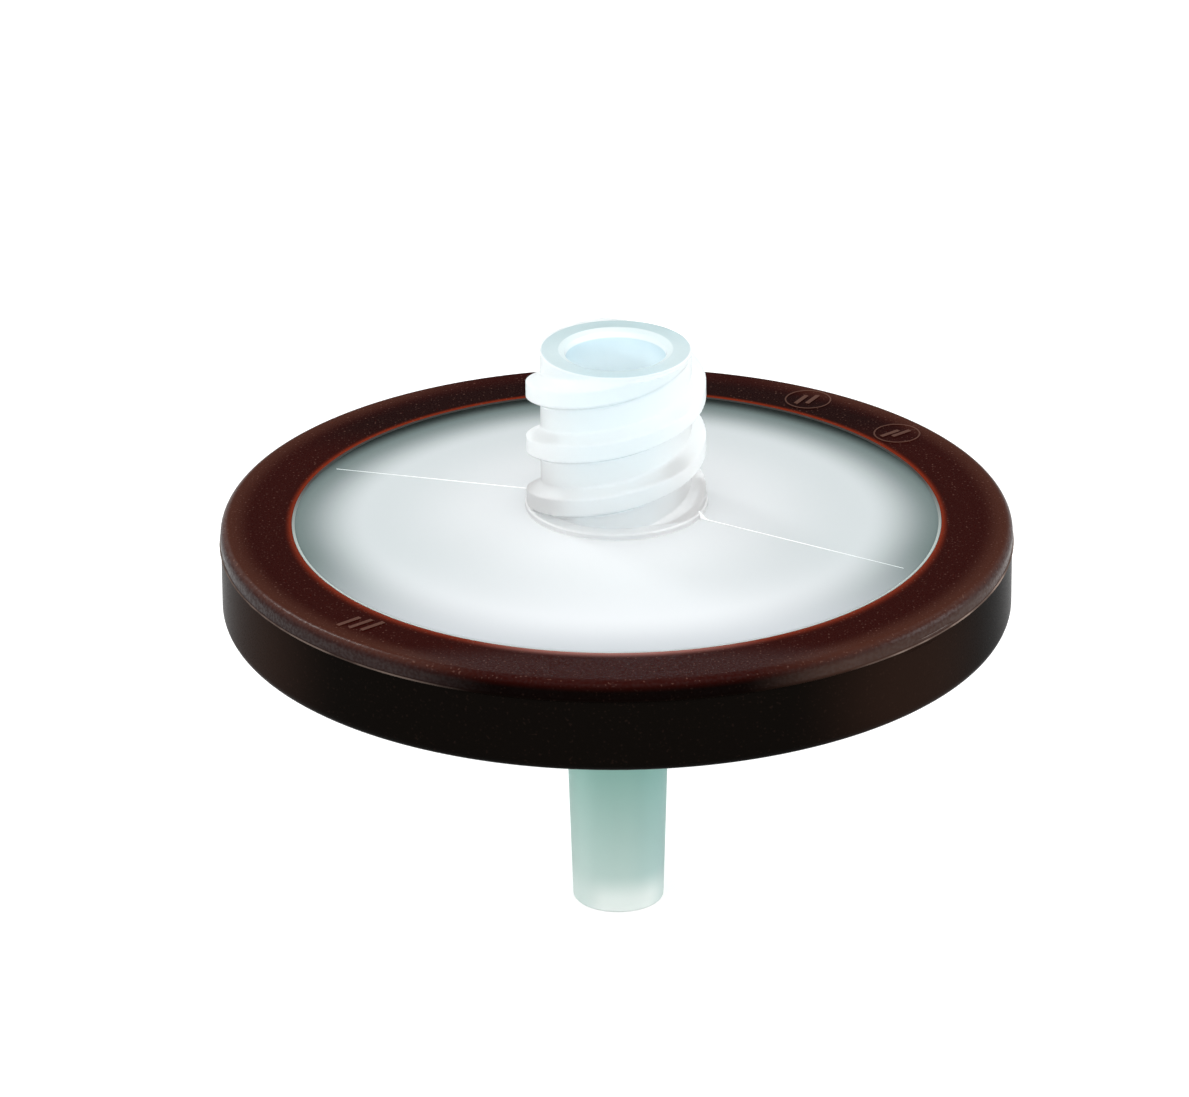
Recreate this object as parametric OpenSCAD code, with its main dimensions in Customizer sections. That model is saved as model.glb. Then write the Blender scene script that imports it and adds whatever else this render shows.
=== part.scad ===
// Disc syringe filter. A membrane lies between two moulded housing halves, and a
// ring injected round their flanges seals them. The inlet is a female luer lock and
// the outlet a male luer slip. Sizes are in millimetres. The origin is the centre
// of the outlet tip, and +Z points up the common axis to the inlet.

/* [Overmoulded ring] */
// Diameter over the parting line, the widest place on the filter
ring_d = 34.3; // [26:0.1:60]
// Thickness from the lower land to the upper land
ring_h = 4.2; // [3.4:0.1:7]
// Radial thickness of the ring outside the housing flanges
ring_wall = 1.25; // [0.8:0.05:3]
// How far the ring reaches inwards over each flange
ring_overlap = 1.9; // [1:0.1:3]
// Thickness of the ring over each flange
ring_lip = 0.7; // [0.4:0.05:0.8]
// Radius of the rounded shoulder round the upper land
shoulder_r = 0.42; // [0.1:0.01:0.5]
// Radius of the rounded corner round the lower land
foot_r = 0.6; // [0.1:0.05:1.5]
// Height of the parting line below the upper land
parting_drop = 0.83; // [0.7:0.01:1.5]
// How far the parting line stands proud of the ring's wall
parting_proud = 0.08; // [0.02:0.01:0.15]

/* [Housing faces] */
// How far each ring land stands above the rim of the face inside it
land_rise = 0.05; // [0.01:0.01:0.2]
// How far each face rises as a cone from its rim to its luer
face_rise = 0.72; // [0.2:0.01:2]
// Radial width of the flanges beyond the membrane's seat
rim_w = 0.75; // [0.4:0.05:2]
// Gap left between the ring and the housing halves that it is moulded round
bond_gap = 0; // [0:0.01:0.05]

/* [Membrane] */
// Thickness of the membrane
membrane_t = 0.15; // [0.1:0.01:0.4]
// Radial play of the membrane in its seat
membrane_play = 0.15; // [0.05:0.01:0.3]
// Radial width of the membrane's edge clamped between the halves
seal_w = 1.4; // [0.6:0.1:3]

/* [Flow chambers] */
// Height of the inlet chamber at its rim
chamber_h = 0.35; // [0.2:0.05:0.6]
// How much higher the inlet chamber is at its middle
chamber_rise = 0.3; // [0:0.05:0.6]
// Number of radial ribs under the inlet half
inlet_ribs = 12; // [4:1:24]
// Width of the inlet ribs
inlet_rib_w = 0.5; // [0.3:0.05:0.8]
// Gap between the inlet ribs and the membrane
rib_gap = 0.1; // [0.05:0.01:0.15]
// Distance of the inlet ribs' ends from the channel and from the chamber's wall
rib_end_gap = 1.2; // [0.5:0.1:3]
// Spacing of the concentric drain grooves under the membrane
groove_pitch = 1.5; // [1.2:0.1:3]
// Width of the drain grooves
groove_w = 0.8; // [0.4:0.05:1]
// Depth of the drain grooves
groove_deep = 0.5; // [0.2:0.05:0.8]
// Number of radial drain channels
drain_channels = 8; // [4:1:12]
// Diameter of the sump where the drain channels meet
sump_d = 4; // [3.4:0.1:6]
// How much deeper the sump is than the drain channels
sump_step = 0.15; // [0.05:0.05:0.4]

/* [Inlet luer lock] */
// Height of the lip above the upper land
inlet_h = 7.9; // [7:0.1:15]
// Diameter of the socket at its mouth, where the taper starts
socket_d = 4.3; // [4.27:0.005:5.2]
// Depth of the tapered socket
socket_deep = 7.6; // [6:0.1:8]
// Radius of the rounded mouth
mouth_r = 0.3; // [0.05:0.01:0.4]
// Bevel of the lip's outer edge
lip_bevel = 0.08; // [0.02:0.01:0.2]
// Wall of the barrel at the mouth of the socket
barrel_wall = 1.1; // [0.9:0.05:2]
// Diameter of the channel below the socket
inlet_channel_d = 2.4; // [1:0.1:3]
// Height of the collar at the foot of the barrel
collar_h = 0.25; // [0.1:0.05:1]
// How far the collar stands proud of the thread
collar_proud = 0.06; // [0.02:0.01:0.5]

/* [Luer lock thread] */
// Height of the thread ridges above the barrel
thread_h = 0.62; // [0.3:0.01:0.8]
// Width of a ridge at the barrel
thread_root_w = 1.46; // [1:0.01:2]
// Width of a ridge at its crest
thread_crest_w = 0.64; // [0.2:0.01:0.9]
// Rise of each ridge in one turn
thread_lead = 5; // [4.5:0.1:7]
// Number of ridges
thread_starts = 2; // [1:1:2]
// Direction in which the first ridge runs out at the lip
thread_exit_a = 140; // [0:5:355]
// How far the ridges stop below the lip
thread_drop = 0.08; // [0.02:0.01:0.5]

/* [Outlet luer slip] */
// Length of the outlet below the ring
outlet_h = 13.8; // [8:0.1:25]
// Diameter of the tip at its end
tip_d = 3.96; // [3.925:0.005:4.8]
// Rounded edge of the tip, as a bevel
tip_bevel = 0.12; // [0.02:0.01:0.3]
// Diameter of the passage through the outlet
outlet_bore_d = 1.9; // [1:0.1:2.4]
// Radius of the fillet where the outlet joins its face
hub_r = 0.6; // [0.2:0.05:1]
// Luer taper, as growth in diameter per unit of length
luer_taper = 0.06; // [0.05:0.005:0.07]

/* [Hidden] */

$fn = 96;
ARC_STEPS = 6;
SWEEP_STEP_A = 10;
OVERLAP = 0.2;

// Levels, from the tip upwards
foot_z = outlet_h;
land_z = foot_z + ring_h;
lip_z = land_z + inlet_h;
mid_z = foot_z + ring_h / 2;
seat_z = mid_z - membrane_t / 2;
seal_z = mid_z + membrane_t / 2;
parting_z = land_z - parting_drop;
upper_rim_z = land_z - land_rise;
lower_rim_z = foot_z + land_rise;
upper_face_z = upper_rim_z + face_rise;
lower_face_z = lower_rim_z - face_rise;
flange_top_z = land_z - ring_lip;
flange_foot_z = foot_z + ring_lip;
chamber_z = seal_z + chamber_h;
chamber_mid_z = chamber_z + chamber_rise;
collar_z = upper_face_z + collar_h;

// Radii, from the outside inwards
ring_r = ring_d / 2;
wall_r = ring_r - parting_proud;
flange_r = ring_r - ring_wall;
window_r = flange_r - ring_overlap;
membrane_seat_r = flange_r - rim_w;
membrane_r = membrane_seat_r - membrane_play;
chamber_r = membrane_r - seal_w;
barrel_r = socket_d / 2 + barrel_wall;
crest_r = barrel_r + thread_h;
collar_r = crest_r + collar_proud;
channel_r = inlet_channel_d / 2;
bore_r = outlet_bore_d / 2;

// Radius of the outlet's outside at a height above its tip
function tip_r_at(z) = (tip_d + luer_taper * z) / 2;

// Points of an arc about [x, y], from angle a to angle b
function arc(x, y, r, a, b) =
    [for (i = [0:ARC_STEPS])
        let (t = a + (b - a) * i / ARC_STEPS)
        [x + r * cos(t), y + r * sin(t)]];

// The ring in section: a rounded band with two lips that grip the flanges
function ring_section() = concat(
    [[window_r + bond_gap, foot_z]],
    arc(wall_r - foot_r, foot_z + foot_r, foot_r, -90, 0),
    [[wall_r, parting_z - parting_proud], [ring_r, parting_z], [wall_r, parting_z + parting_proud]],
    arc(wall_r - shoulder_r, land_z - shoulder_r, shoulder_r, 0, 90),
    [[window_r + bond_gap, land_z],
     [window_r + bond_gap, flange_top_z + bond_gap],
     [flange_r + bond_gap, flange_top_z + bond_gap],
     [flange_r + bond_gap, flange_foot_z - bond_gap],
     [window_r + bond_gap, flange_foot_z - bond_gap]]);

// The inlet half in section, solid to the axis: flange, coned face, collar and barrel
function inlet_section() = [
    [0, chamber_mid_z],
    [chamber_r, chamber_z],
    [chamber_r, seal_z],
    [flange_r, seal_z],
    [flange_r, flange_top_z],
    [window_r, flange_top_z],
    [window_r, upper_rim_z],
    [collar_r, upper_face_z],
    [collar_r, collar_z],
    [barrel_r, collar_z],
    [barrel_r, lip_z - lip_bevel],
    [barrel_r - lip_bevel, lip_z],
    [0, lip_z]];

// The socket in section: a rounded mouth and a taper, open above the lip
function socket_section() = concat(
    [[0, lip_z - socket_deep],
     [(socket_d - luer_taper * (socket_deep - mouth_r)) / 2, lip_z - socket_deep]],
    arc(socket_d / 2 + mouth_r, lip_z - mouth_r, mouth_r, 180, 90),
    [[socket_d / 2 + mouth_r, lip_z + OVERLAP],
     [0, lip_z + OVERLAP]]);

// The outlet half in section, solid to the axis: seat, flange, coned face and tip
function outlet_section() = concat(
    [[0, seat_z],
     [0, 0],
     [tip_r_at(0) - tip_bevel, 0],
     [tip_r_at(tip_bevel), tip_bevel],
     [tip_r_at(lower_face_z - hub_r), lower_face_z - hub_r]],
    arc(tip_r_at(lower_face_z - hub_r) + hub_r, lower_face_z - hub_r, hub_r, 180, 90),
    [[window_r, lower_rim_z],
     [window_r, flange_foot_z],
     [flange_r, flange_foot_z],
     [flange_r, seal_z],
     [membrane_seat_r, seal_z],
     [membrane_seat_r, seat_z]]);

// One thread ridge, swept up a right-hand helix that meets the lip at angle exit_a
module thread_ridge(exit_a) {
    flank = (thread_root_w - thread_crest_w) / 2 / thread_h;
    foot_w = thread_root_w / 2 + flank * OVERLAP;
    section = [
        [barrel_r - OVERLAP, foot_w],
        [crest_r, thread_crest_w / 2],
        [crest_r, -thread_crest_w / 2],
        [barrel_r - OVERLAP, -foot_w]];
    start_a = exit_a - 360 * (lip_z - upper_face_z + thread_root_w) / thread_lead;
    end_a = exit_a + 360 * thread_root_w / thread_lead;
    steps = ceil((end_a - start_a) / SWEEP_STEP_A);
    points = [for (i = [0:steps])
        let (a = start_a + (end_a - start_a) * i / steps)
        for (p = section)
            [p.x * cos(a), p.x * sin(a), lip_z + thread_lead * (a - exit_a) / 360 + p.y]];
    last = 4 * steps;
    faces = concat(
        [[0, 1, 2], [0, 2, 3]],
        [for (i = [0:steps - 1])
            for (j = [0:3])
                let (k = (j + 1) % 4)
                for (f = [[j, j + 4, k + 4], [j, k + 4, k]])
                    [for (n = f) 4 * i + n]],
        [[last + 2, last + 1, last], [last + 3, last + 2, last]]);
    polyhedron(points, faces, convexity = 6);
}

// The ridges, cut level just below the lip and rooted in the face
module thread() {
    root_z = upper_face_z - 2 * OVERLAP;
    intersection() {
        union()
            for (i = [0:thread_starts - 1])
                thread_ridge(thread_exit_a + 360 * i / thread_starts);
        translate([0, 0, root_z])
            cylinder(r = crest_r + OVERLAP, h = lip_z - thread_drop - root_z);
    }
}

// Radial ribs that spread the flow under the inlet half
module spreader_ribs() {
    rib_z = seal_z + rib_gap;
    rib_start_r = channel_r + rib_end_gap;
    for (i = [0:inlet_ribs - 1])
        rotate([0, 0, (i + 0.5) * 360 / inlet_ribs])
            translate([rib_start_r, -inlet_rib_w / 2, rib_z])
                cube([chamber_r - rib_end_gap - rib_start_r, inlet_rib_w, chamber_mid_z + OVERLAP - rib_z]);
}

// Concentric grooves and radial channels that drain the membrane into a central sump
module drain_pattern() {
    first_r = sump_d / 2 + groove_w;
    rings = floor((chamber_r - first_r - groove_w) / groove_pitch);
    translate([0, 0, seat_z - groove_deep - sump_step])
        cylinder(d = sump_d, h = groove_deep + sump_step + OVERLAP);
    for (i = [0:rings])
        translate([0, 0, seat_z - groove_deep])
            difference() {
                cylinder(r = first_r + i * groove_pitch + groove_w, h = groove_deep + OVERLAP);
                translate([0, 0, -OVERLAP])
                    cylinder(r = first_r + i * groove_pitch, h = groove_deep + 3 * OVERLAP);
            }
    for (i = [0:drain_channels - 1])
        rotate([0, 0, i * 360 / drain_channels])
            translate([0, -groove_w / 2, seat_z - groove_deep])
                cube([first_r + rings * groove_pitch + groove_w / 2, groove_w, groove_deep + OVERLAP]);
}

// Upper half: coned face, female luer lock and flow spreader, moulded in one
module inlet_housing() {
    color([0.90, 0.95, 0.95]) {
        difference() {
            union() {
                rotate_extrude() polygon(inlet_section());
                spreader_ribs();
            }
            rotate_extrude() polygon(socket_section());
            translate([0, 0, seal_z])
                cylinder(r = channel_r, h = lip_z - socket_deep + OVERLAP - seal_z);
        }
        thread();
    }
}

// Filter membrane, clamped round its edge
module membrane() {
    color([0.98, 0.98, 0.96])
        translate([0, 0, seat_z])
            cylinder(r = membrane_r, h = membrane_t);
}

// Lower half: membrane seat, drain and male luer slip, moulded in one
module outlet_housing() {
    color([0.80, 0.88, 0.87])
        difference() {
            rotate_extrude() polygon(outlet_section());
            drain_pattern();
            translate([0, 0, -OVERLAP])
                cylinder(r = bore_r, h = seat_z + 2 * OVERLAP);
        }
}

// Ring injected round both flanges, which holds and seals the filter
module overmould_ring() {
    color([0.24, 0.09, 0.06])
        rotate_extrude() polygon(ring_section());
}

inlet_housing();
membrane();
outlet_housing();
overmould_ring();
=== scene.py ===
"""Disc syringe filter with a female luer lock inlet, an overmoulded ring and a luer slip outlet.

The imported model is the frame: metres, +Z up, origin at the centre of the outlet tip, which stands
on the floor. Sizes and places below are in millimetres and are turned into metres where a mesh is
made. Left is -X, right is +X, the front is -Y and the rear is +Y. Colours are linear.
"""

import bpy
import numpy as np
from mathutils import Matrix, Vector


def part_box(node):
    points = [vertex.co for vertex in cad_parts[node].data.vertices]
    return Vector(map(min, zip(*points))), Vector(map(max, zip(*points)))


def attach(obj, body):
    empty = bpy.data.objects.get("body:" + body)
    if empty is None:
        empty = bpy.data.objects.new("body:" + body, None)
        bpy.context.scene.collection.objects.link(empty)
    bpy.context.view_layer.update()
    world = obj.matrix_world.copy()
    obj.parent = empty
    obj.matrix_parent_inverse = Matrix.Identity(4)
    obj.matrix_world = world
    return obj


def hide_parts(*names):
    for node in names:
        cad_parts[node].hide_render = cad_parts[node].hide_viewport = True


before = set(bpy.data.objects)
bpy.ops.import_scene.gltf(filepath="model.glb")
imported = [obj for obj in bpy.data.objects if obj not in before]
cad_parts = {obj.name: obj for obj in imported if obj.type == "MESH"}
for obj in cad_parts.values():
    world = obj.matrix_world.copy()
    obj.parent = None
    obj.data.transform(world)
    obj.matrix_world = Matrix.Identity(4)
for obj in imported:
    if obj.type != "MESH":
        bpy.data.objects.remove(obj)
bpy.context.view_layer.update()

# ---------------------------------------------------------------------------------------
# Overmoulded ring
# A band of dark brown polypropylene, injected round the two flanges after they are laid
# together. The two mould halves meet in a thin flash line above the middle of its wall.
# ---------------------------------------------------------------------------------------
MM = 0.001
BODY = "root"

ring_low, ring_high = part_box("overmould_ring")
flash_r = ring_high.x / MM
foot_z = ring_low.z / MM
land_z = ring_high.z / MM
window_r = 14.0
flange_r = 15.9
ring_lip = 0.7
lower_wall_r = flash_r - 0.085
upper_wall_r = flash_r - 0.06
flash_z = land_z - 0.85
flash_half_w = 0.05
flash_nick = 0.03
shoulder_r = 0.43
foot_corner_r = 0.6
window_edge_r = 0.06


def arc(centre_r, centre_z, radius, start_a, end_a, count):
    """Points (centre_r + radius cos a, centre_z + radius sin a), a in degrees from start_a to end_a."""
    a = np.radians(np.linspace(start_a, end_a, count))
    return np.column_stack((centre_r + radius * np.cos(a), centre_z + radius * np.sin(a)))


def run(start, end, count):
    """Points evenly spaced from start up to, but not including, end."""
    t = np.arange(count)[:, None] / count
    return np.asarray(start, float) * (1 - t) + np.asarray(end, float) * t


def swept(section, angles):
    """The section's radius and its height, each with a row for each point and a column for each angle."""
    shape = (len(section), len(angles))
    return np.broadcast_to(section[:, :1], shape).copy(), np.broadcast_to(section[:, 1:], shape).copy()


def make_piece(name, points, faces):
    """A mesh object from points in millimetres, with its place in its mesh."""
    mesh = bpy.data.meshes.new(name)
    mesh.from_pydata((np.asarray(points) * MM).tolist(), [], faces)
    piece = bpy.data.objects.new(name, mesh)
    bpy.context.scene.collection.objects.link(piece)
    return piece


def turned(name, radius, height, angles, centre=(0, 0)):
    """A closed section carried round an upright axis: point centre + (radius cos a, radius sin a, height).

    radius and height have one row for each section point and one column for each angle. The
    section runs anticlockwise in (radius, height), which turns every face outwards.
    """
    rows, columns = radius.shape
    x = centre[0] + radius * np.cos(angles)
    y = centre[1] + radius * np.sin(angles)
    points = np.stack((x, y, height), axis=-1).reshape(-1, 3)
    here = np.arange(rows * columns).reshape(rows, columns)
    beside = np.roll(here, -1, axis=1)
    faces = np.stack((here, beside, np.roll(beside, -1, axis=0), np.roll(here, -1, axis=0)), axis=-1)
    piece = make_piece(name, points, faces.reshape(-1, 4).tolist())
    piece.data.polygons.foreach_set("use_smooth", np.ones(len(piece.data.polygons), bool))
    piece.data.set_sharp_from_angle(angle=np.radians(38))
    return piece


def plates(name, outlines, bases, ups, sides):
    """Flat plates, one mesh: outline (u, v) lies at base + u along + v up, and goes from -side to +side.

    bases, ups and sides hold one vector for each plate; along is up x side, normalised. An outline
    runs anticlockwise in (u, v) as seen from the tip of its side vector, which turns every face outwards.
    """
    points = []
    faces = []
    for outline, base, up, side in zip(outlines, bases, ups, sides):
        outline, base, up, side = (np.asarray(item, float) for item in (outline, base, up, side))
        along = np.cross(up, side / np.linalg.norm(side))
        flat = base + outline[:, :1] * along + outline[:, 1:] * up
        near = list(range(len(points), len(points) + len(outline)))
        far = [i + len(outline) for i in near]
        points.extend(flat - side)
        points.extend(flat + side)
        faces.append(near[::-1])
        faces.append(far)
        faces.extend(zip(near, near[1:] + near[:1], far[1:] + far[:1], far))
    return make_piece(name, points, faces)


def waves(angles, counts, seed):
    """A smooth periodic noise of angle: the mean of cos(n a + phase) over the whole numbers n in counts."""
    phases = np.random.default_rng(seed).uniform(0, 2 * np.pi, len(counts))
    return np.mean([np.cos(n * angles + p) for n, p in zip(counts, phases)], axis=0)


ring_section = np.vstack((
    run((window_r, foot_z), (lower_wall_r - foot_corner_r, foot_z), 6),
    arc(lower_wall_r - foot_corner_r, foot_z + foot_corner_r, foot_corner_r, -90, 0, 12),
    run((lower_wall_r, foot_z + 1.0), (lower_wall_r, flash_z - flash_half_w), 6),
    [(lower_wall_r, flash_z - flash_half_w), (flash_r - 0.03, flash_z - 0.02), (flash_r, flash_z),
     (flash_r - 0.025, flash_z + 0.02), (upper_wall_r, flash_z + flash_half_w)],
    run((upper_wall_r, flash_z + 0.15), (upper_wall_r, land_z - shoulder_r), 2),
    arc(upper_wall_r - shoulder_r, land_z - shoulder_r, shoulder_r, 0, 90, 14),
    run((upper_wall_r - shoulder_r - 0.2, land_z), (window_r + window_edge_r, land_z), 8),
    arc(window_r + window_edge_r, land_z - window_edge_r, window_edge_r, 90, 180, 5),
    run((window_r, land_z - 0.2), (window_r, land_z - ring_lip), 3),
    run((window_r, land_z - ring_lip), (flange_r, land_z - ring_lip), 3),
    run((flange_r, land_z - ring_lip), (flange_r, foot_z + ring_lip), 3),
    run((flange_r, foot_z + ring_lip), (window_r, foot_z + ring_lip), 3),
    run((window_r, foot_z + ring_lip), (window_r, foot_z), 2),
))

# The flash is a ragged fin: its edge is nicked by a smooth noise of the angle.
ring_angles = np.radians(np.arange(0, 360, 0.5))
ring_r, ring_z = swept(ring_section, ring_angles)
on_flash = np.exp(-((ring_z - flash_z) / 0.03) ** 2) * (ring_r > lower_wall_r)
ring_r -= flash_nick * on_flash * (0.5 + 0.5 * waves(ring_angles, range(40, 340, 13), seed=3))
ring_piece = turned("ring", ring_r, ring_z, ring_angles)
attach(ring_piece, BODY)
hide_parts("overmould_ring")

# Cavity marks on the upper land: two thin circles with plain bars in them, and three bars alone.
mark_low = land_z - 0.02
mark_high = land_z + 0.035
circle_section = np.array([(0.94, mark_low), (1.06, mark_low), (1.02, mark_high), (0.98, mark_high)])
circle_angles = np.radians(np.arange(0, 360, 6))
circle_r, circle_z = swept(circle_section, circle_angles)
mark_pieces = [turned("mark_circle_%d" % number, circle_r, circle_z, circle_angles, centre)
               for number, centre in enumerate([(8.57, 12.96), (12.39, 9.06)], start=1)]

bar_half_w = 0.1
bar_draft = 0.05
bar_places = [(8.27, 12.96, 1.1, 60), (8.77, 12.96, 1.1, 60), (12.09, 9.06, 1.1, 40), (12.59, 9.06, 1.1, 40),
              (-11.3, -10.7, 1.3, 40), (-10.8, -10.95, 1.3, 40), (-10.3, -11.2, 1.3, 40)]
bar_outlines = []
bar_bases = []
bar_sides = []
for x, y, length, turn in bar_places:
    foot, top = length / 2, length / 2 - bar_draft
    a = np.radians(turn)
    bar_outlines.append([(-foot, 0), (foot, 0), (top, mark_high - mark_low), (-top, mark_high - mark_low)])
    bar_bases.append((x, y, mark_low))
    bar_sides.append((-bar_half_w * np.sin(a), bar_half_w * np.cos(a), 0))
mark_pieces.append(plates("mark_bars", bar_outlines, bar_bases, [(0, 0, 1)] * len(bar_places), bar_sides))

# Where the mould faces are worn, the flash line is doubled for a short way, once above and once below.
worn_swell = 0.045
worn_sunk = 0.02
worn_half_h = 0.03


def worn_strip(name, base_r, z, start_a, end_a):
    """A strip of flash on the wall at height z, from start_a to end_a in degrees, both ends closed.

    Its edges lie worn_sunk inside the wall, and its middle stands worn_swell sin(pi t) out of it,
    with t from 0 to 1 along the strip.
    """
    a = np.radians(np.arange(start_a, end_a, 0.5))
    crest = base_r + worn_swell * np.sin(np.linspace(0, np.pi, len(a)))
    radius = np.stack((np.full(len(a), base_r - worn_sunk), crest, np.full(len(a), base_r - worn_sunk)))
    height = z + worn_half_h * np.array([[-1], [0], [1]]) * np.ones(len(a))
    points = np.stack((radius * np.cos(a), radius * np.sin(a), height), axis=-1).reshape(-1, 3)
    here = np.arange(3 * len(a)).reshape(3, len(a))
    above = np.roll(here, -1, axis=0)
    quads = np.stack((here[:, :-1], here[:, 1:], above[:, 1:], above[:, :-1]), axis=-1).reshape(-1, 4)
    return make_piece(name, points, quads.tolist() + [here[:, 0].tolist(), here[::-1, -1].tolist()])


mark_pieces.append(worn_strip("worn_flash_1", upper_wall_r, flash_z + 0.2, -44, -33))
mark_pieces.append(worn_strip("worn_flash_2", lower_wall_r, flash_z - 0.17, -46, -37))
for piece in mark_pieces:
    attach(piece, BODY)


class Nodes:
    """Adds and links the shader nodes of one material or group by short calls."""

    def __init__(self, tree):
        self.tree = tree

    def add(self, kind, **settings):
        node = self.tree.nodes.new(kind)
        for key, value in settings.items():
            setattr(node, key, value)
        return node

    def link(self, source, target):
        self.tree.links.new(source, target)

    def feed(self, target, value):
        """Links a socket, or sets a plain value."""
        if isinstance(value, bpy.types.NodeSocket):
            self.link(value, target)
        else:
            target.default_value = value

    def math(self, operation, *values):
        node = self.add("ShaderNodeMath", operation=operation)
        for socket, value in zip(node.inputs, values):
            self.feed(socket, value)
        return node.outputs[0]

    def product(self, first, *others):
        """The product of all the values, for masks that hold together."""
        for other in others:
            first = self.math("MULTIPLY", first, other)
        return first

    def ramp(self, value, low, high, out_low=0.0, out_high=1.0):
        """Smooth step: out_low where value is at low, out_high where it is at high."""
        node = self.add("ShaderNodeMapRange", interpolation_type="SMOOTHSTEP")
        for socket, item in zip(node.inputs, (value, low, high, out_low, out_high)):
            self.feed(socket, item)
        return node.outputs[0]

    def mix(self, factor, a, b):
        """Colour a where factor is 0, colour b where it is 1."""
        node = self.add("ShaderNodeMix", data_type="RGBA")
        self.feed(node.inputs["Factor"], factor)
        self.feed(node.inputs[6], a)
        self.feed(node.inputs[7], b)
        return node.outputs[2]

    def noise(self, position, scale, detail=2.0):
        """Noise with scale cells to a millimetre."""
        node = self.add("ShaderNodeTexNoise")
        self.link(position, node.inputs["Vector"])
        self.feed(node.inputs["Scale"], scale)
        node.inputs["Detail"].default_value = detail
        return node.outputs["Fac"]


class PieceNodes(Nodes):
    """The nodes of a piece's material, with sockets for its place in millimetres.

    position is the place, x, y and height are its parts, and radius is the distance from the axis.
    """

    def __init__(self, tree):
        super().__init__(tree)
        in_mm = self.add("ShaderNodeVectorMath", operation="SCALE")
        self.link(self.add("ShaderNodeTexCoord").outputs["Object"], in_mm.inputs[0])
        in_mm.inputs["Scale"].default_value = 1 / MM
        self.position = in_mm.outputs["Vector"]
        split = self.add("ShaderNodeSeparateXYZ")
        self.link(self.position, split.inputs[0])
        self.x, self.y, self.height = split.outputs
        flat = self.add("ShaderNodeCombineXYZ")
        self.link(self.x, flat.inputs[0])
        self.link(self.y, flat.inputs[1])
        length = self.add("ShaderNodeVectorMath", operation="LENGTH")
        self.link(flat.outputs[0], length.inputs[0])
        self.radius = length.outputs["Value"]


def new_material(name, **constants):
    """A material with one Principled shader, whose constant sockets are set by name."""
    material = bpy.data.materials.new(name)
    material.use_nodes = True
    material.node_tree.nodes.clear()
    n = PieceNodes(material.node_tree)
    shader = n.add("ShaderNodeBsdfPrincipled")
    output = n.add("ShaderNodeOutputMaterial")
    n.link(shader.outputs[0], output.inputs["Surface"])
    for key, value in constants.items():
        shader.inputs[key.replace("_", " ").title().replace("Ior", "IOR")].default_value = value
    return material, n, shader


def make_grain_group():
    """Spark-eroded mould grain: a fine noise as height, and the same noise as a mask for roughness.

    Vector, Size and Depth are in millimetres.
    """
    group = bpy.data.node_groups.new("mould_grain", "ShaderNodeTree")
    group.interface.new_socket("Vector", in_out="INPUT", socket_type="NodeSocketVector")
    group.interface.new_socket("Size", in_out="INPUT", socket_type="NodeSocketFloat")
    group.interface.new_socket("Depth", in_out="INPUT", socket_type="NodeSocketFloat")
    group.interface.new_socket("Normal", in_out="OUTPUT", socket_type="NodeSocketVector")
    group.interface.new_socket("Mask", in_out="OUTPUT", socket_type="NodeSocketFloat")
    n = Nodes(group)
    source = n.add("NodeGroupInput")
    result = n.add("NodeGroupOutput")
    noise = n.noise(source.outputs["Vector"], n.math("DIVIDE", 1.0, source.outputs["Size"]), detail=3.0)
    bump = n.add("ShaderNodeBump")
    bump.inputs["Strength"].default_value = 1.0
    n.link(n.math("MULTIPLY", source.outputs["Depth"], MM), bump.inputs["Distance"])
    n.link(noise, bump.inputs["Height"])
    n.link(bump.outputs["Normal"], result.inputs["Normal"])
    n.link(noise, result.inputs["Mask"])
    return group


grain_group = make_grain_group()


def grain(n, shader, size, depth, low_rough, high_rough, low_mask=0.3, high_mask=0.7):
    """Gives the shader grain of that size and depth in millimetres, rougher where it stands higher."""
    node = n.add("ShaderNodeGroup", node_tree=grain_group)
    n.link(n.position, node.inputs["Vector"])
    node.inputs["Size"].default_value = size
    node.inputs["Depth"].default_value = depth
    n.link(node.outputs["Normal"], shader.inputs["Normal"])
    rough = n.ramp(node.outputs["Mask"], low_mask, high_mask, low_rough, high_rough)
    n.link(rough, shader.inputs["Roughness"])


# Ring colours: the land's brown and the lower wall's are the ring's own; the others are painted light and
# shade on it.
LAND_BROWN = (0.0180, 0.0012, 0.0004, 1)
LAND_REAR_SHADE = (0.0075, 0.0006, 0.0003, 1)
LAND_OUTER_SHEEN = (0.043, 0.013, 0.008, 1)
UPPER_WALL_SHADE = (0.0016, 0.0005, 0.0003, 1)
UPPER_WALL_LIT_LEFT = (0.016, 0.007, 0.006, 1)
UPPER_WALL_LIT_RIGHT = (0.036, 0.017, 0.012, 1)
LOWER_WALL = (0.0032, 0.0024, 0.0019, 1)
LOWER_WALL_LIT = (0.014, 0.0072, 0.0050, 1)
WINDOW_GLOW = (0.15, 0.018, 0.006, 1)
WINDOW_GLOW_FRONT = (0.30, 0.13, 0.11, 1)
WINDOW_EDGE_HIGHLIGHT = (0.36, 0.35, 0.33, 1)
SPECK_AND_MARK_HIGHLIGHT = (0.16, 0.085, 0.065, 1)
FLASH_HIGHLIGHT = (0.25, 0.19, 0.16, 1)
lit_wall_places = [(12.6, -11.6, 15.6), (-15.6, -7.0, 15.6)]
lit_wall_r = 7.0

ring_material, n, shader = new_material("ring_brown", specular_ior_level=0.004, ior=1.49, coat_roughness=0.24)
grain(n, shader, 0.07, 0.0025, 0.25, 0.33)
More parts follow.
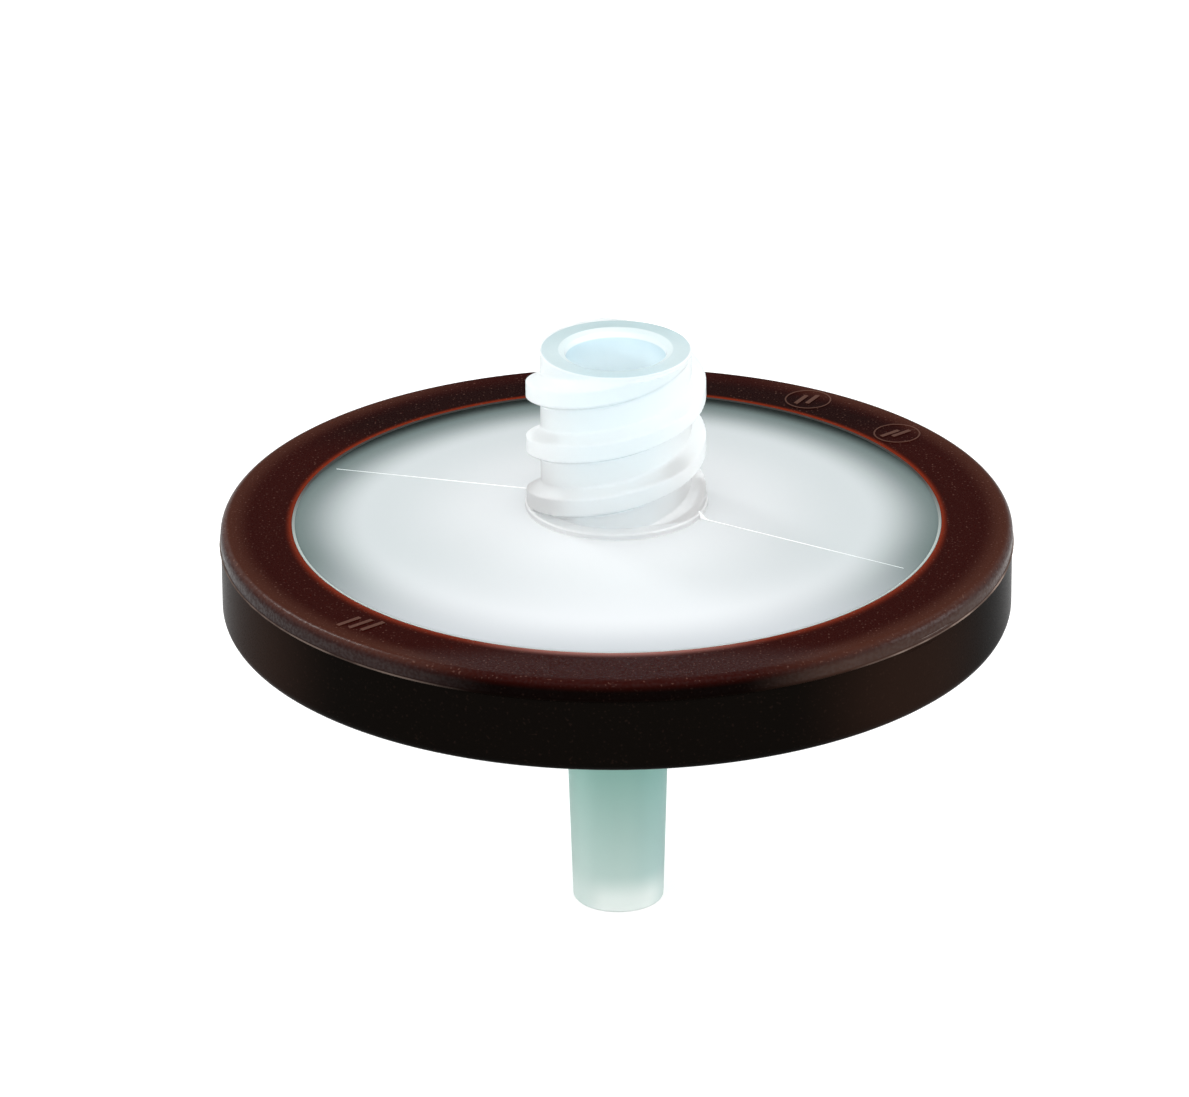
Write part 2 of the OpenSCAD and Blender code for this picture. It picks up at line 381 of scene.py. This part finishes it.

# Walls: the lower wall is painted paler, as light, in a patch at its front left and one at its front
# right where the side light falls; the upper wall is painted darkest in its middle, as shade, and paler at
# its sides, as light.
colour = LOWER_WALL
for lit_place in lit_wall_places:
    away = n.add("ShaderNodeVectorMath", operation="DISTANCE")
    n.link(n.position, away.inputs[0])
    away.inputs[1].default_value = lit_place
    colour = n.mix(n.ramp(away.outputs["Value"], lit_wall_r, 1.0), colour, LOWER_WALL_LIT)
beside = n.ramp(n.math("ABSOLUTE", n.x), 5.0, 10.0)
on_right = n.ramp(n.x, -2.0, 2.0)
# Painted shade in the upper wall's middle, painted light at its left and more at its right.
upper_wall_shading = n.mix(beside, UPPER_WALL_SHADE, n.mix(on_right, UPPER_WALL_LIT_LEFT, UPPER_WALL_LIT_RIGHT))
colour = n.mix(n.ramp(n.height, flash_z - 0.1, flash_z + 0.1), colour, upper_wall_shading)

# Land: brown down over the shoulder, into the upper wall's colour; a painted shade at the rear, and a
# painted sheen at the outer edge of its sides.
colour = n.mix(n.ramp(n.height, land_z - 0.48, land_z - 0.04), colour, LAND_BROWN)
on_top = n.ramp(n.height, land_z - 0.3, land_z - 0.05)
rear_shade = n.product(n.ramp(n.y, 7.0, 11.0), n.ramp(n.radius, 16.5, 15.2), on_top)
colour = n.mix(rear_shade, colour, LAND_REAR_SHADE)
# Painted sheen: the land's outer edge is paler at its sides, where the shoulder's highlight spreads onto it.
outer_edge_sheen = n.product(n.ramp(n.radius, 15.7, 16.75), on_top, beside)
colour = n.mix(outer_edge_sheen, colour, LAND_OUTER_SHEEN)

# Window: a painted glow of light through the lip's thin edge, red, wider and paler in front, and a
# painted highlight on its very edge there.
glow_reach = n.ramp(n.y, 3.0, -12.0, window_r + 0.38, window_r + 0.72)
glow = n.product(n.math("POWER", n.ramp(n.radius, glow_reach, window_r), 2.0), on_top)
colour = n.mix(glow, colour, n.mix(n.ramp(n.y, -12.5, -14.6), WINDOW_GLOW, WINDOW_GLOW_FRONT))
# Painted highlight on the window's very edge, in front only.
edge_highlight = n.product(n.ramp(n.radius, window_r + 0.07, window_r + 0.01), on_top,
                    n.ramp(n.y, -3.0, -12.0, 0.0, 0.6))
colour = n.mix(edge_highlight, colour, WINDOW_EDGE_HIGHLIGHT)

# Painted glints as pale specks, painted highlights on the raised marks, and a painted highlight on the
# flash line, in broken stretches at the sides.
glint_speck = n.product(n.ramp(n.noise(n.position, 9.0, detail=0.0), 0.70, 0.80, 0.0, 0.35),
                  n.math("MULTIPLY_ADD", on_top, 0.9, 0.1))
raised_highlight = n.ramp(n.height, land_z + 0.005, land_z + 0.03, 0.0, 0.42)
colour = n.mix(n.math("MAXIMUM", glint_speck, raised_highlight), colour, SPECK_AND_MARK_HIGHLIGHT)
# The flash line's painted highlight, at its left and more at its right.
off_flash = n.math("ABSOLUTE", n.math("SUBTRACT", n.height, flash_z))
proud = n.math("MAXIMUM", n.ramp(off_flash, 0.06, 0.03),
               n.ramp(n.radius, upper_wall_r + 0.01, upper_wall_r + 0.03))
flash_lit_sides = n.math("ADD", n.ramp(n.x, -6.0, -10.0, 0.0, 0.4), n.ramp(n.x, 9.5, 12.5, 0.0, 0.95))
broken = n.ramp(n.noise(n.position, 0.4), 0.4, 0.6, 0.3, 1.0)
colour = n.mix(n.product(proud, flash_lit_sides, broken), colour, FLASH_HIGHLIGHT)
n.link(colour, shader.inputs["Base Color"])

# Gloss on the upper wall and the shoulder, most at the sides, and on the front of the land.
shoulder_z = n.ramp(on_right, 0.0, 1.0, land_z - 0.05, land_z - 0.14)
on_shoulder = n.product(n.ramp(n.height, flash_z + 0.02, flash_z + 0.15),
                        n.ramp(n.height, land_z - 0.003, shoulder_z))
side_gloss = n.product(on_shoulder, n.math("MULTIPLY_ADD", beside, 0.30, 0.02))
front_gloss = n.product(n.ramp(n.y, -13.0, -15.0, 0.0, 0.17), on_top)
sparkle = n.ramp(n.noise(n.position, 8.0, detail=0.0), 0.3, 0.7, 0.45, 1.0)
n.link(n.product(n.math("MAXIMUM", side_gloss, front_gloss), sparkle), shader.inputs["Coat Weight"])
for piece in [ring_piece] + mark_pieces:
    piece.data.materials.append(ring_material)

# ---------------------------------------------------------------------------------------
# Outlet half
# Natural polypropylene, moulded in one: the flange under the membrane with its drain
# grooves, a shallow coned face, and a male luer slip with a passage through it.
# ---------------------------------------------------------------------------------------
seal_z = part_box("outlet_housing")[1].z / MM
seat_z = seal_z - 0.15
seat_r = 15.15
tip_r = 1.98
taper = 0.03
tip_edge_r = 0.13
bore_r = 0.95
hub_fillet_r = 0.6
face_rise = 0.72
rim_step = 0.05
lower_rim_z = foot_z + rim_step
lower_face_z = lower_rim_z - face_rise
sump_r = 2.0
sump_z = seat_z - 0.65
groove_deep = 0.5
groove_w = 0.8
groove_pitch = 1.5
chamber_r = 13.6
hub_r = tip_r + taper * (lower_face_z - hub_fillet_r)
first_groove_r = sump_r + groove_w
groove_count = int((chamber_r - first_groove_r - groove_w) / groove_pitch) + 1


def groove(inner_r):
    """One drain groove in section, walked inwards: down its outer wall, across, and up its inner wall."""
    outer_r = inner_r + groove_w
    floor_z = seat_z - groove_deep
    return [(outer_r, seat_z), (outer_r, floor_z), (inner_r, floor_z), (inner_r, seat_z)]


outlet_section = np.vstack((
    run((bore_r, 0), (tip_r - tip_edge_r, 0), 3),
    arc(tip_r - tip_edge_r, tip_edge_r, tip_edge_r, -90, 0, 6),
    run((tip_r + taper * 0.3, 0.3), (hub_r, lower_face_z - hub_fillet_r), 40),
    arc(hub_r + hub_fillet_r, lower_face_z - hub_fillet_r, hub_fillet_r, 180, 92, 8),
    run((hub_r + hub_fillet_r + 0.3, lower_face_z + 0.01), (window_r, lower_rim_z), 24),
    run((window_r, lower_rim_z), (window_r, foot_z + ring_lip), 2),
    run((window_r, foot_z + ring_lip), (flange_r, foot_z + ring_lip), 2),
    run((flange_r, foot_z + ring_lip), (flange_r, seal_z), 2),
    [(flange_r, seal_z), (seat_r, seal_z), (seat_r, seat_z)],
    *(groove(first_groove_r + i * groove_pitch) for i in reversed(range(groove_count))),
    [(sump_r, seat_z), (sump_r, sump_z)],
    run((bore_r, sump_z), (bore_r, 0), 12),
))
outlet_angles = np.radians(np.arange(0, 360, 1.5))
outlet_piece = turned("outlet_half", *swept(outlet_section, outlet_angles), outlet_angles)
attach(outlet_piece, BODY)
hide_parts("outlet_housing")


def natural_plastic(name, transmission, low_rough, high_rough):
    """Milky natural polypropylene: a share of the light goes through a rough skin, the rest is scattered."""
    material, n, shader = new_material(name, ior=1.33, specular_ior_level=0.15,
                                       transmission_weight=transmission)
    grain(n, shader, 0.2, 0.0008, low_rough, high_rough)
    return material, n, shader


OUTLET_ROOT_SHADE = (0.22, 0.49, 0.42, 1)
OUTLET_ROOT_SHADE_RIGHT = (0.17, 0.41, 0.36, 1)
OUTLET_END = (0.60, 0.74, 0.70, 1)
OUTLET_END_SHADE_RIGHT = (0.45, 0.62, 0.60, 1)
OUTLET_TIP_HIGHLIGHT = (0.88, 0.95, 0.92, 1)
OUTLET_FACE = (0.55, 0.74, 0.69, 1)

# The slip is greenish, with painted shade that deepens upwards under the disc and on its right, and a
# painted highlight round its tip.
outlet_material, n, shader = natural_plastic("outlet_polypropylene", 0.35, 0.42, 0.5)
down = n.ramp(n.height, 11.0, 0.0)
colour = n.mix(n.ramp(n.x, 0.2, 2.0), n.mix(down, OUTLET_ROOT_SHADE, OUTLET_END),
               n.mix(down, OUTLET_ROOT_SHADE_RIGHT, OUTLET_END_SHADE_RIGHT))
# Painted highlight round the end of the tip, strongest near its middle.
off_middle = n.math("ABSOLUTE", n.math("SUBTRACT", n.x, 0.3))
tip_highlight = n.product(n.ramp(n.height, 1.9, 0.5), n.ramp(off_middle, 1.9, 0.9, 0.3, 1.0))
colour = n.mix(tip_highlight, colour, OUTLET_TIP_HIGHLIGHT)
on_face = n.ramp(n.radius, hub_r + 0.15, hub_r + 1.2)
n.link(n.mix(on_face, colour, OUTLET_FACE), shader.inputs["Base Color"])
outlet_piece.data.materials.append(outlet_material)

# ---------------------------------------------------------------------------------------
# Membrane
# A microporous white disc, clamped round its edge between the two halves. Its mesh is the
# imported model's own.
# ---------------------------------------------------------------------------------------
MEMBRANE_FIBRE = (0.98, 0.98, 0.97, 1)
MEMBRANE_PORE = (0.94, 0.94, 0.93, 1)
MEMBRANE_RING_SHADE = (0.02, 0.03, 0.03, 1)

membrane_material, n, shader = new_material("membrane_white", specular_ior_level=0.3)
grain(n, shader, 0.08, 0.01, 0.8, 0.95, low_mask=0.2, high_mask=0.8)
white = n.mix(n.noise(n.position, 9.0, detail=4.0), MEMBRANE_PORE, MEMBRANE_FIBRE)
# Painted shade: the membrane is nearly black round its edge, where it lies under the ring.
n.link(n.mix(n.ramp(n.radius, 14.2, 15.2), white, MEMBRANE_RING_SHADE), shader.inputs["Base Color"])
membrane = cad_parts["membrane"]
membrane.data.materials.clear()
membrane.data.materials.append(membrane_material)

# ---------------------------------------------------------------------------------------
# Inlet half
# Natural polypropylene, moulded in one: a coned face, a collar, and a female luer lock
# with two right-hand ridges. The slides that form the thread leave a fine witness line.
# ---------------------------------------------------------------------------------------
lip_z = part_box("inlet_housing")[1].z / MM
rim_z = land_z - rim_step
face_z = rim_z + face_rise
collar_r = 3.93
collar_z = face_z + 0.25
barrel_r = 3.25
socket_mouth_r = 2.15
socket_deep = 7.6
mouth_r = 0.3
lip_edge_r = 0.08
socket_end_r = socket_mouth_r - taper * (socket_deep - mouth_r)
channel_r = 1.2
chamber_z = seal_z + 0.35
chamber_mid_z = chamber_z + 0.3

thread_lead = 5.0
thread_starts = 2
thread_exit_a = 130.0
thread_h = 0.62
thread_root_w = 1.46
thread_crest_w = 0.70
thread_top_z = lip_z - 0.08
barrel_rows = 118

# The core is all that lies inside: the chamber's ceiling, the seal and the flange in the ring.
# Its seat stands a hair off the membrane, so that the two surfaces do not coincide.
seal_gap = 0.01
core_section = np.vstack((
    run((channel_r, chamber_mid_z), (chamber_r, chamber_z), 10),
    [(chamber_r, chamber_z), (chamber_r, seal_z + seal_gap)],
    run((chamber_r + 0.1, seal_z + seal_gap), (seat_r - 0.1, seal_z + seal_gap), 3),
    [(seat_r - 0.1, seal_z + seal_gap), (seat_r, seal_z)],
    run((flange_r, seal_z), (flange_r, land_z - ring_lip), 3),
    run((flange_r, land_z - ring_lip), (window_r, land_z - ring_lip), 3),
    run((window_r, land_z - ring_lip), (window_r, rim_z + 0.03), 3),
))
bead_section = np.array([(window_r, rim_z + 0.03), (window_r - 0.04, rim_z + 0.026),
                         (window_r - 0.08, rim_z + 0.012)])
face_section = run((window_r - 0.12, rim_z + 0.012 * face_rise), (collar_r, face_z), 60)
collar_section = np.vstack((
    [(collar_r, face_z), (collar_r, collar_z - 0.06), (collar_r - 0.06, collar_z)],
    run((collar_r - 0.2, collar_z), (barrel_r, collar_z), 3),
))
barrel_section = np.vstack((
    run((barrel_r, collar_z), (barrel_r, thread_top_z), barrel_rows),
    [(barrel_r, thread_top_z)],
))
lip_section = np.vstack((
    [(barrel_r, thread_top_z)],
    arc(barrel_r - lip_edge_r, lip_z - lip_edge_r, lip_edge_r, 0, 90, 5),
    run((barrel_r - lip_edge_r - 0.1, lip_z), (socket_mouth_r + mouth_r, lip_z), 5),
    run((socket_mouth_r + mouth_r, lip_z), (socket_mouth_r + 0.06, lip_z - 0.13), 4),
    run((socket_mouth_r + 0.06, lip_z - 0.13), (socket_mouth_r, lip_z - mouth_r), 3),
    run((socket_mouth_r - 0.005, lip_z - mouth_r - 0.2), (socket_end_r, lip_z - socket_deep), 14),
    run((socket_end_r, lip_z - socket_deep), (channel_r, lip_z - socket_deep), 3),
    run((channel_r, lip_z - socket_deep), (channel_r, chamber_mid_z), 4),
))

# Columns every 0.9 degrees, and closer ones beside the witness line on both sides.
witness_a = 155.6
witness_steps = np.array([0.1, 0.2, 0.35, 0.55, 0.8, 1.1, 1.6, 2.0])
witness_steps = np.concatenate((-witness_steps, [0.0], witness_steps))
inlet_angles = np.radians(np.sort(np.concatenate((
    np.arange(0, 360, 0.9),
    (witness_a + witness_steps) % 360,
    (witness_a + 180 + witness_steps) % 360,
))))


def ridge_height(angles, z):
    """Height of the thread over the barrel: a trapezoid of the distance along z from the nearest helix.

    The helix of each ridge is z = lip_z + thread_lead (a - thread_exit_a) / 360, and the ridges
    repeat every lead / starts. The corners are rounded by a smooth step, and the height falls to
    0.3 of itself where the ridge runs out at the lip.
    """
    pitch = thread_lead / thread_starts
    away = z - lip_z - thread_lead * (np.degrees(angles) - thread_exit_a) / 360
    away = (away + pitch / 2) % pitch - pitch / 2
    flank = np.clip((thread_root_w / 2 - np.abs(away)) / (thread_root_w - thread_crest_w) * 2, 0, 1)
    shape = 0.55 * flank + 0.45 * flank ** 2 * (3 - 2 * flank)
    out = np.clip((lip_z + 0.25 - (z - away)) / 1.1, 0, 1)
    return thread_h * shape * (0.3 + 0.7 * out ** 2 * (3 - 2 * out))


sections = (core_section, bead_section, face_section, collar_section, barrel_section, lip_section)
barrel_start = sum(len(section) for section in sections[:4])
on_barrel = slice(barrel_start, barrel_start + len(barrel_section))
inlet_r, inlet_z = swept(np.vstack(sections), inlet_angles)
inlet_r[on_barrel] += ridge_height(inlet_angles, inlet_z[on_barrel])
inlet_piece = turned("inlet_half", inlet_r, inlet_z, inlet_angles)
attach(inlet_piece, BODY)
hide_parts("inlet_housing")


def face_height(r):
    """Height of the coned face: rim_z + face_rise (window_r - r) / (window_r - collar_r)."""
    return rim_z + face_rise * (window_r - r) / (window_r - collar_r)


# The witness line: a hair of flash across the face on both sides, each with a small fin at the collar.
line_half_w = 0.017
line_outline = [(collar_r - 0.1, face_height(collar_r) - 0.05), (13.3, face_height(13.3) - 0.05),
                (13.4, face_height(13.3) + 0.004), (4.3, face_height(4.3) + 0.03),
                (4.15, face_height(4.2) + 0.1), (collar_r + 0.03, collar_z + 0.05),
                (collar_r - 0.1, collar_z + 0.08)]
line_sides = [(line_half_w * np.sin(a), -line_half_w * np.cos(a), 0)
              for a in np.radians([witness_a, witness_a + 180])]
witness_piece = plates("witness_line", [line_outline] * 2, [(0, 0, 0)] * 2, [(0, 0, 1)] * 2, line_sides)
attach(witness_piece, BODY)

LINE_INNER = (1.0, 1.0, 1.0, 1)
LINE_OUTER_SHADE = (0.75, 0.82, 0.82, 1)
line_material, n, shader = natural_plastic("witness_plastic", 0.2, 0.3, 0.4)
# Painted shade: the line greys towards the rim, as the face there is shaded.
n.link(n.mix(n.ramp(n.radius, 9.0, 13.4), LINE_INNER, LINE_OUTER_SHADE), shader.inputs["Base Color"])
witness_piece.data.materials.append(line_material)

FACE_INNER = (0.60, 0.62, 0.63, 1)
FACE_MIDDLE = (0.475, 0.512, 0.52, 1)
FACE_MIDDLE_FRONT_LIT = (0.585, 0.605, 0.62, 1)
FACE_RIM_SHADE = (0.115, 0.150, 0.146, 1)
FACE_RIM_FRONT_LIT = (0.42, 0.445, 0.465, 1)
FACE_RIM_REAR_SHADOW = (0.002, 0.006, 0.005, 1)

# Painted shade: the face darkens towards its rim, where the ring shades it. Its front is painted pale, as
# light, and at the rear a painted shadow reaches further in.
face_material, n, shader = new_material("inlet_face", specular_ior_level=0.02, ior=1.49)
grain(n, shader, 0.2, 0.0008, 0.4, 0.5)
lit_front = n.ramp(n.y, -3.0, -12.5)
outwards = n.math("ADD", n.radius, n.ramp(n.y, 0.0, 12.0, 0.0, 1.05))
colour = n.mix(n.ramp(n.radius, 4.5, 10.4), FACE_INNER, n.mix(lit_front, FACE_MIDDLE, FACE_MIDDLE_FRONT_LIT))
colour = n.mix(n.ramp(outwards, 10.8, 14.0), colour, n.mix(lit_front, FACE_RIM_SHADE, FACE_RIM_FRONT_LIT))
colour = n.mix(n.ramp(outwards, 13.65, 14.75), colour, FACE_RIM_REAR_SHADOW)
n.link(colour, shader.inputs["Base Color"])

LUER_FOOT_LIT = (1.0, 1.0, 1.0, 1)
LUER_TOP = (0.957, 0.980, 0.980, 1)
SOCKET_MOUTH_SHADE = (0.54, 0.72, 0.80, 1)
SOCKET_INSIDE = (0.76, 0.90, 0.95, 1)
LIP_FRONT = (0.62, 0.74, 0.76, 1)
LIP_REAR_SHADE = (0.48, 0.62, 0.64, 1)
MOUTH_BEVEL_HIGHLIGHT = (0.80, 0.90, 0.91, 1)
MOUTH_EDGE_HIGHLIGHT = (0.89, 0.96, 0.98, 1)
BEAD_REAR_SHADE = (0.03, 0.025, 0.02, 1)
BEAD_FRONT_HIGHLIGHT = (0.80, 0.92, 0.88, 1)

# The luer: a white barrel painted paler at its foot, as light; a socket painted bluer and darker at its
# mouth, as shade; a lip painted darker at the rear, as shade; and painted highlights on the bevel at the
# mouth and on its edge. The bead at the face's rim is of the same plastic.
luer_material, n, shader = natural_plastic("inlet_luer", 0.6, 0.42, 0.5)
colour = n.mix(n.ramp(n.height, collar_z, lip_z - 2.5), LUER_FOOT_LIT, LUER_TOP)
socket_colour = n.mix(n.ramp(n.height, lip_z - 0.3, lip_z - 1.8), SOCKET_MOUTH_SHADE, SOCKET_INSIDE)
colour = n.mix(n.ramp(n.radius, 3.3, 2.2), colour, socket_colour)
on_lip = n.product(n.ramp(n.height, lip_z - 0.12, lip_z - 0.02),
                   n.ramp(n.radius, barrel_r - 0.03, barrel_r - 0.09))
colour = n.mix(on_lip, colour, n.mix(n.ramp(n.y, -0.5, 2.8), LIP_FRONT, LIP_REAR_SHADE))
on_bevel = n.product(n.ramp(n.height, lip_z - mouth_r - 0.1, lip_z - mouth_r),
                     n.ramp(n.radius, socket_mouth_r + mouth_r + 0.04, socket_mouth_r + mouth_r - 0.02))
colour = n.mix(on_bevel, colour, MOUTH_BEVEL_HIGHLIGHT)
mouth_edge_highlight = n.product(on_bevel, n.ramp(n.radius, socket_mouth_r + 0.08, socket_mouth_r + 0.04))
colour = n.mix(mouth_edge_highlight, colour, MOUTH_EDGE_HIGHLIGHT)
# The bead: painted shade at the rear, a painted highlight at the front.
bead_shading = n.mix(n.ramp(n.y, 5.0, -4.0), BEAD_REAR_SHADE, BEAD_FRONT_HIGHLIGHT)
colour = n.mix(n.ramp(n.radius, 13.0, 13.5), colour, bead_shading)
n.link(colour, shader.inputs["Base Color"])

CORE_INNER = (0.99, 0.99, 0.99, 1)
CORE_MIDDLE = (0.905, 0.93, 0.94, 1)
CORE_OUTER_SHADE = (0.36, 0.49, 0.49, 1)
CORE_OUTER_FRONT_LIT = (0.76, 0.77, 0.80, 1)
CORE_UNDER = (0.62, 0.82, 0.79, 1)
CORE_FLANGE_SHADE = (0.004, 0.012, 0.010, 1)
CORE_RING_SHADE = (0.012, 0.005, 0.003, 1)

# The core scatters what comes in through the skin of the barrel and the bead. It is painted darker
# outwards, as shade, and paler at the front of the bead, as light, and painted dark, as shade, where
# the ring covers it.
core_material, n, shader = new_material("inlet_core", specular_ior_level=0.0)
grain(n, shader, 0.2, 0.003, 0.85, 0.95)
outer_shading = n.mix(n.ramp(n.y, -6.0, -13.0), CORE_OUTER_SHADE, CORE_OUTER_FRONT_LIT)
colour = n.mix(n.ramp(n.radius, 4.5, 7.5), CORE_INNER, CORE_MIDDLE)
colour = n.mix(n.ramp(n.radius, 8.6, 13.4), colour, outer_shading)
colour = n.mix(n.ramp(n.height, chamber_z - 0.01, chamber_z - 0.06), colour, CORE_UNDER)
# Painted shade where the ring covers the core, tinted brown beside it.
colour = n.mix(n.ramp(n.radius, 14.0, 15.2), colour, CORE_FLANGE_SHADE)
ring_shade = n.ramp(n.height, land_z - ring_lip - 0.06, land_z - ring_lip - 0.02)
n.link(n.mix(ring_shade, colour, CORE_RING_SHADE), shader.inputs["Base Color"])

# Each section has one material, in the order of sections: core, bead, face, collar, barrel and lip.
for material in (face_material, luer_material, core_material):
    inlet_piece.data.materials.append(material)
FACE_SLOT, LUER_SLOT, CORE_SLOT = range(3)
section_slots = (CORE_SLOT, LUER_SLOT, FACE_SLOT, LUER_SLOT, LUER_SLOT, LUER_SLOT)
row_slots = np.repeat(section_slots, [len(section) for section in sections])
inlet_piece.data.polygons.foreach_set("material_index", np.repeat(row_slots, len(inlet_angles)))

# ---------------------------------------------------------------------------------------
# Floor, light and camera
# A white floor that shows from above only. Light comes from all round, with a dark card
# behind and brighter bands in front and at the sides, and from four soft panels: two
# behind, one at the right and one in front.
# ---------------------------------------------------------------------------------------
FLOOR_GREY = (0.55, 0.55, 0.55, 1)
floor_glow = 0.62
floor_half_w = 1500.0
floor_corners = [(-floor_half_w, -floor_half_w, 0), (floor_half_w, -floor_half_w, 0),
                 (floor_half_w, floor_half_w, 0), (-floor_half_w, floor_half_w, 0)]


def background_seen(n):
    """1 for rays that see the white background: the camera's, and those that gloss or clear plastic sends."""
    paths = n.add("ShaderNodeLightPath")
    seen = n.math("MAXIMUM", paths.outputs["Is Camera Ray"], paths.outputs["Is Transmission Ray"])
    return n.math("MAXIMUM", seen, paths.outputs["Is Glossy Ray"])


floor = make_piece("floor", floor_corners, [(0, 1, 2, 3)])

floor_material = bpy.data.materials.new("floor_white")
floor_material.use_nodes = True
floor_material.node_tree.nodes.clear()
n = Nodes(floor_material.node_tree)
diffuse = n.add("ShaderNodeBsdfDiffuse")
diffuse.inputs["Color"].default_value = FLOOR_GREY
glow = n.add("ShaderNodeEmission")
n.link(n.math("MULTIPLY", background_seen(n), floor_glow), glow.inputs["Strength"])
lit = n.add("ShaderNodeAddShader")
n.link(diffuse.outputs[0], lit.inputs[0])
n.link(glow.outputs[0], lit.inputs[1])
clear = n.add("ShaderNodeBsdfTransparent")
one_sided = n.add("ShaderNodeMixShader")
n.link(n.add("ShaderNodeNewGeometry").outputs["Backfacing"], one_sided.inputs[0])
n.link(lit.outputs[0], one_sided.inputs[1])
n.link(clear.outputs[0], one_sided.inputs[2])
output = n.add("ShaderNodeOutputMaterial")
n.link(one_sided.outputs[0], output.inputs["Surface"])
floor.data.materials.append(floor_material)

scene = bpy.context.scene
scene.view_settings.view_transform = "Standard"
scene.world = bpy.data.worlds.new("level_light")
scene.world.use_nodes = True
scene.world.node_tree.nodes.clear()
n = Nodes(scene.world.node_tree)
direction = n.add("ShaderNodeTexCoord").outputs["Generated"]
split = n.add("ShaderNodeSeparateXYZ")
n.link(direction, split.inputs[0])
to_right, to_rear, up = split.outputs

# The open light, weaker from overhead, with a band in front and one on each side above the horizon.
beside = n.math("ADD", n.ramp(to_right, -0.4, -0.9, 0.0, 1.5), n.ramp(to_right, 0.5, 0.95, 0.0, 0.6))
bands = n.math("ADD", n.ramp(to_rear, -0.2, -0.9, 0.0, 0.45), n.product(beside, n.ramp(up, 0.0, 0.3)))
open_light = n.math("ADD", n.ramp(up, 0.3, 0.9, 1.08, 0.77), bands)

# The dark card: a round patch of the surroundings, behind the object and 20 degrees up.
card_direction = (0, 0.940, 0.342)
card_light = 0.012
towards_card = n.add("ShaderNodeVectorMath", operation="DOT_PRODUCT")
n.link(direction, towards_card.inputs[0])
towards_card.inputs[1].default_value = card_direction
beyond_card = n.ramp(towards_card.outputs["Value"], 0.76, 0.92, 1.0, 0.0)
level = n.add("ShaderNodeBackground")
level.inputs["Color"].default_value = (1, 1, 1, 1)
n.link(n.math("MULTIPLY_ADD", beyond_card, open_light, card_light), level.inputs["Strength"])

# The white background: strength 1, and scattered_gain for rays that plastic has already scattered.
scattered_gain = 1.42
paths = n.add("ShaderNodeLightPath")
white = n.add("ShaderNodeBackground")
white.inputs["Color"].default_value = (1, 1, 1, 1)
n.link(n.ramp(paths.outputs["Diffuse Depth"], 0.2, 0.8, 1.0, scattered_gain), white.inputs["Strength"])
pick = n.add("ShaderNodeMixShader")
n.link(background_seen(n), pick.inputs[0])
n.link(level.outputs[0], pick.inputs[1])
n.link(white.outputs[0], pick.inputs[2])
output = n.add("ShaderNodeOutputWorld")
n.link(pick.outputs[0], output.inputs["Surface"])

lamp_target = Vector((0, 0, 17)) * MM
lamp_distance = 0.5


def panel(name, azimuth, elevation, width, height, power):
    """A soft lamp of width x height metres and power watts, lamp_distance from its target and facing it."""
    a, e = np.radians(azimuth), np.radians(elevation)
    towards = Vector((np.cos(a) * np.cos(e), np.sin(a) * np.cos(e), np.sin(e)))
    data = bpy.data.lights.new(name, "AREA")
    data.shape = "RECTANGLE"
    data.size, data.size_y = width, height
    data.energy = power
    lamp = bpy.data.objects.new(name, data)
    lamp.location = lamp_target + towards * lamp_distance
    lamp.rotation_mode = "QUATERNION"
    lamp.rotation_quaternion = towards.to_track_quat("Z", "Y")
    scene.collection.objects.link(lamp)


panel("rear_left_panel", 136, 45, 0.09, 0.16, 0.45)
panel("rear_right_panel", 55, 42, 0.24, 0.14, 0.3)
panel("right_panel", 8, 13, 0.26, 0.22, 0.6)
panel("front_panel", -80, 38, 0.7, 0.7, 1.3)

camera_place = Vector((-0.958, -359.9, 175.6)) * MM
camera_down = 23.84
camera_roll = -0.36
camera_data = bpy.data.cameras.new("camera")
camera_data.sensor_width = 36.0
camera_data.lens = 275.8
camera_data.clip_start = 0.01
camera_data.clip_end = 10
camera = bpy.data.objects.new("camera", camera_data)
camera.matrix_world = (Matrix.Translation(camera_place)
                       @ Matrix.Rotation(np.radians(90 - camera_down), 4, "X")
                       @ Matrix.Rotation(np.radians(camera_roll), 4, "Z"))
scene.collection.objects.link(camera)
scene.camera = camera
